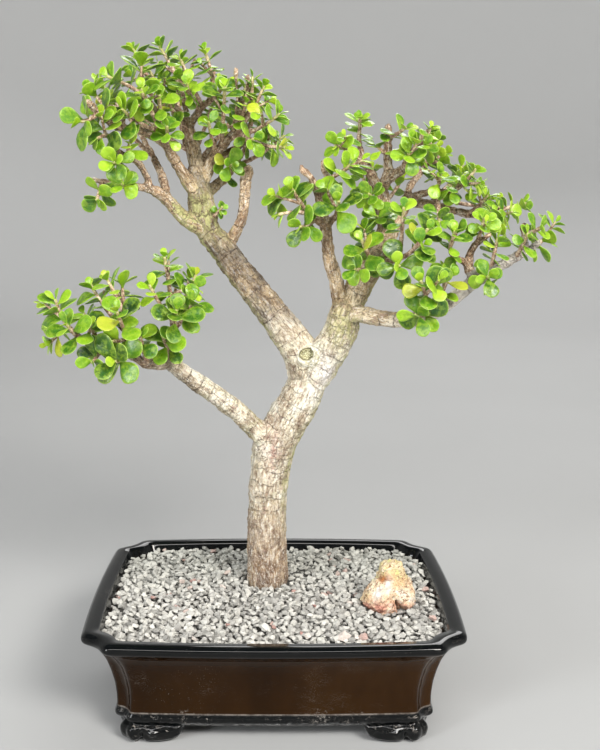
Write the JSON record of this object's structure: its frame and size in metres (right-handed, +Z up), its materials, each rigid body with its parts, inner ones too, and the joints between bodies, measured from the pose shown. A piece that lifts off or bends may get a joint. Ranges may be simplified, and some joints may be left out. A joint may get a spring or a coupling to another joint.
{
  "type": "dwarf jade bonsai",
  "caption": "Dwarf jade tree with a bare forked trunk and leafy crowns, planted in gravel in a low footed rectangular glazed pot with a small accent rock.",
  "frame": {"origin": "centre of the whole plant's bounding box in plan, at the height of the undersides of the pot's feet", "axes": "+Z up along the trunk, +X along the pot's long side towards the right as seen from the front, -Y towards the front"},
  "size_m": [0.4172, 0.2418, 0.5513],
  "materials": {
    "glaze": "gloss",
    "net": "matte",
    "soil": "matte",
    "gravel": "matte",
    "rock": "matte",
    "bark": "matte",
    "leaf": "satin"
  },
  "bodies": {
    "root": {"pot": "glaze", "drain_screen_left": "net", "drain_screen_right": "net", "soil": "soil", "gravel": "gravel", "accent_rock": "rock", "tree_wood": "bark", "spray_low_branch_01": "leaf", "spray_low_branch_02": "leaf", "spray_low_branch_03": "leaf", "spray_low_branch_04": "leaf", "spray_low_branch_05": "leaf", "spray_low_branch_06": "leaf", "spray_low_branch_07": "leaf", "spray_low_branch_08": "leaf", "spray_low_branch_09": "leaf", "spray_low_branch_10": "leaf", "spray_left_crown_01": "leaf", "spray_left_crown_02": "leaf", "spray_left_crown_03": "leaf", "spray_left_crown_04": "leaf", "spray_left_crown_05": "leaf", "spray_left_crown_06": "leaf", "spray_left_crown_07": "leaf", "spray_left_crown_08": "leaf", "spray_left_crown_09": "leaf", "spray_left_crown_10": "leaf", "spray_left_crown_11": "leaf", "spray_left_crown_12": "leaf", "spray_left_crown_13": "leaf", "spray_left_crown_14": "leaf", "spray_left_crown_15": "leaf", "spray_left_crown_16": "leaf", "spray_left_crown_17": "leaf", "spray_left_crown_18": "leaf", "spray_left_crown_19": "leaf", "spray_left_crown_20": "leaf", "spray_left_crown_21": "leaf", "spray_right_crown_01": "leaf", "spray_right_crown_02": "leaf", "spray_right_crown_03": "leaf", "spray_right_crown_04": "leaf", "spray_right_crown_05": "leaf", "spray_right_crown_06": "leaf", "spray_right_crown_07": "leaf", "spray_right_crown_08": "leaf", "spray_right_crown_09": "leaf", "spray_right_crown_10": "leaf", "spray_right_crown_11": "leaf", "spray_right_crown_12": "leaf", "spray_right_crown_13": "leaf", "spray_right_crown_14": "leaf", "spray_right_crown_15": "leaf", "spray_right_crown_16": "leaf", "spray_right_crown_17": "leaf", "spray_right_crown_18": "leaf", "spray_right_crown_19": "leaf", "spray_right_crown_20": "leaf", "spray_right_crown_21": "leaf", "spray_right_crown_22": "leaf"}
  },
  "joints": []
}
